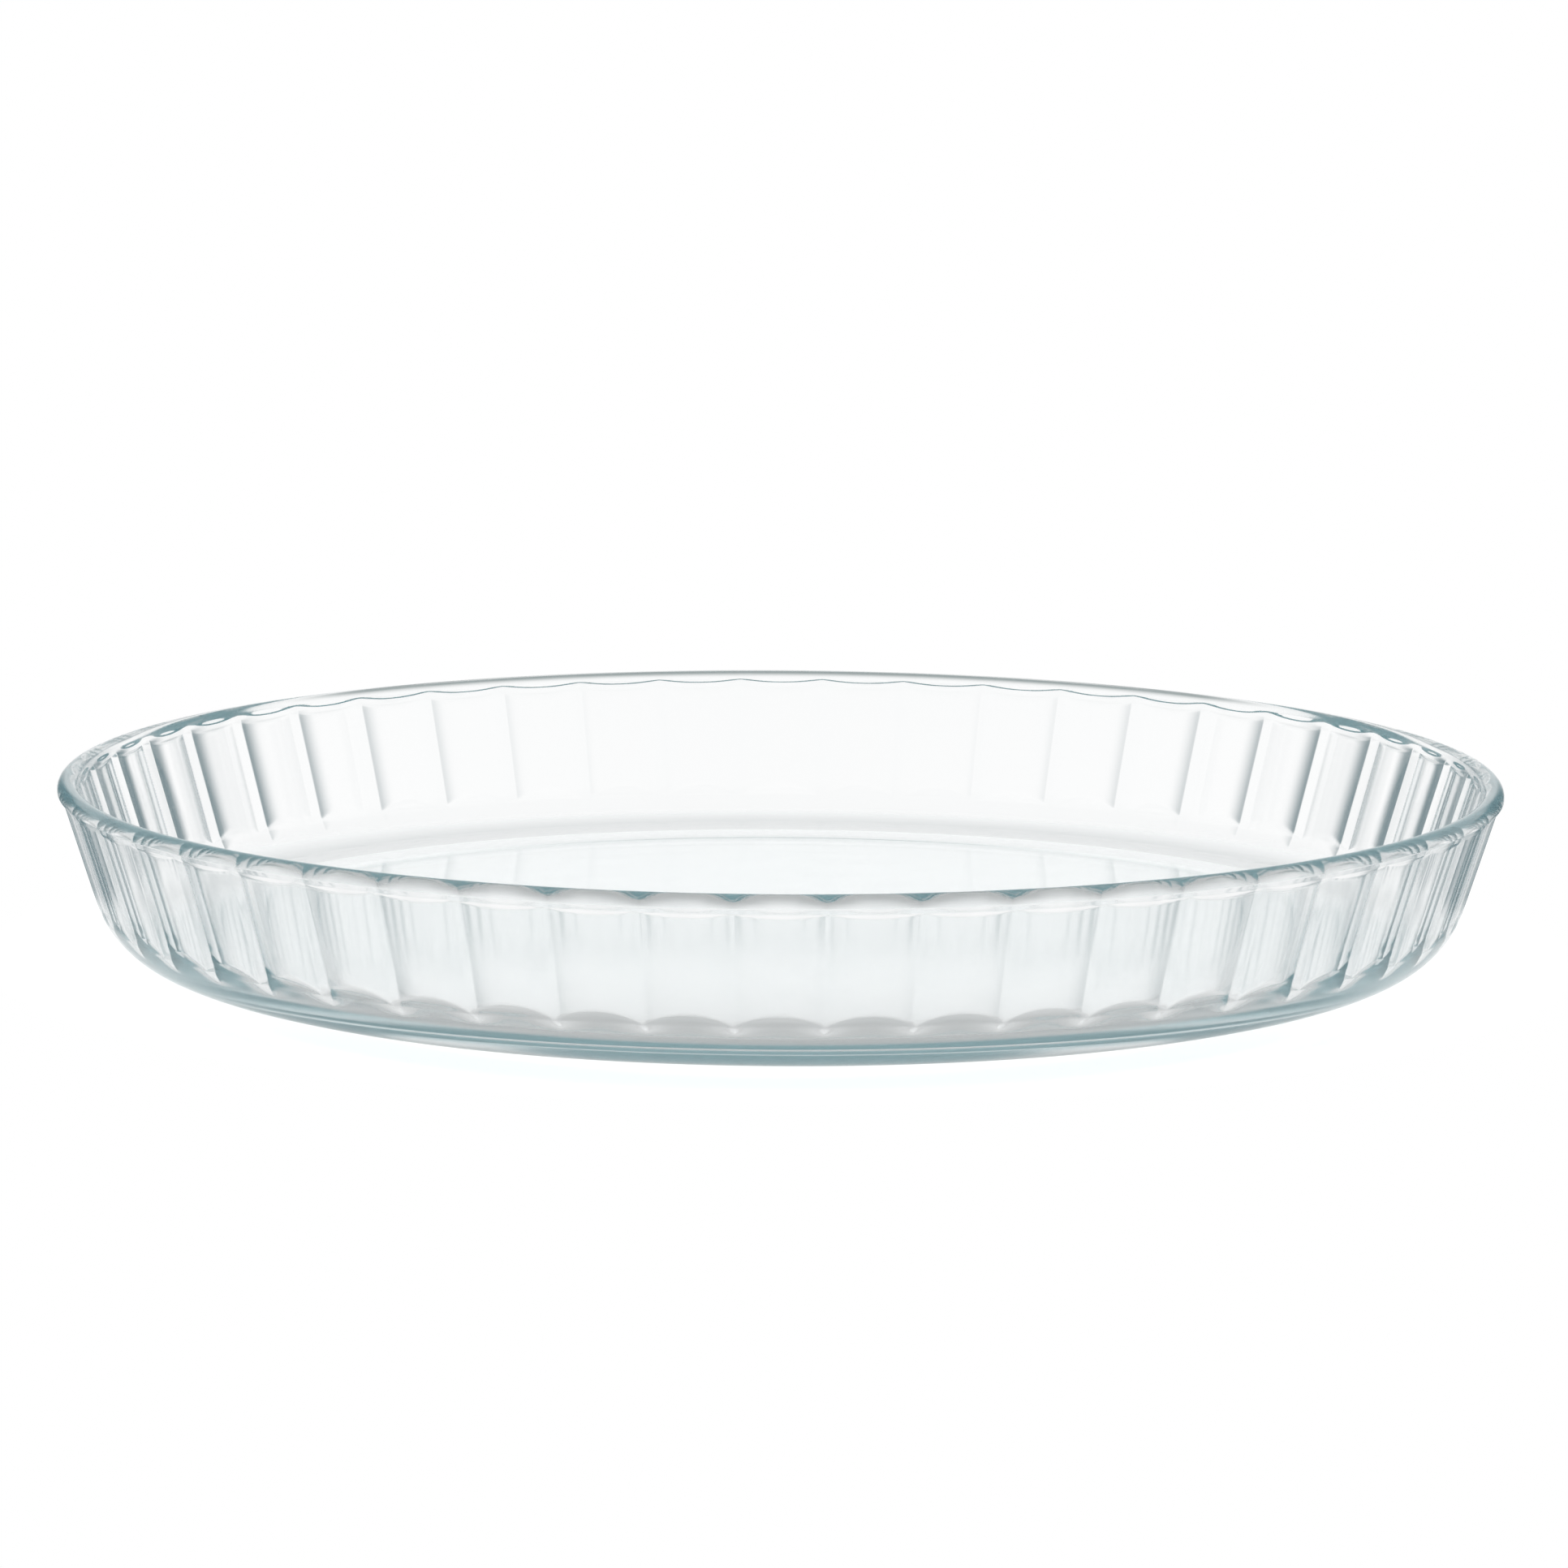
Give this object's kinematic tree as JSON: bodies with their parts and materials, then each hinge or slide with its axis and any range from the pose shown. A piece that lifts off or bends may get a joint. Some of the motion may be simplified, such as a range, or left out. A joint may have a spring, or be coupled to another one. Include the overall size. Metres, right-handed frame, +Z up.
{
  "type": "flan dish",
  "caption": "Round clear pressed-glass flan dish with a fluted leaning wall, half-round rim, rounded heel and low foot ring, for baking and serving tarts, quiches and flans.",
  "frame": {"origin": "centre of the plane that the foot ring rests on, on the dish's axis", "axes": "+Z up along the axis, out of the open top; -Y runs through the middle of a flute, which faces the camera in the picture; +X to the right in the picture"},
  "size_m": [0.28, 0.28, 0.035],
  "materials": {
    "clear_glass": "clear, fire-polished, with a faint blue-green where the glass is thick"
  },
  "bodies": {
    "root": {"glass_dish": "clear_glass"}
  },
  "joints": []
}
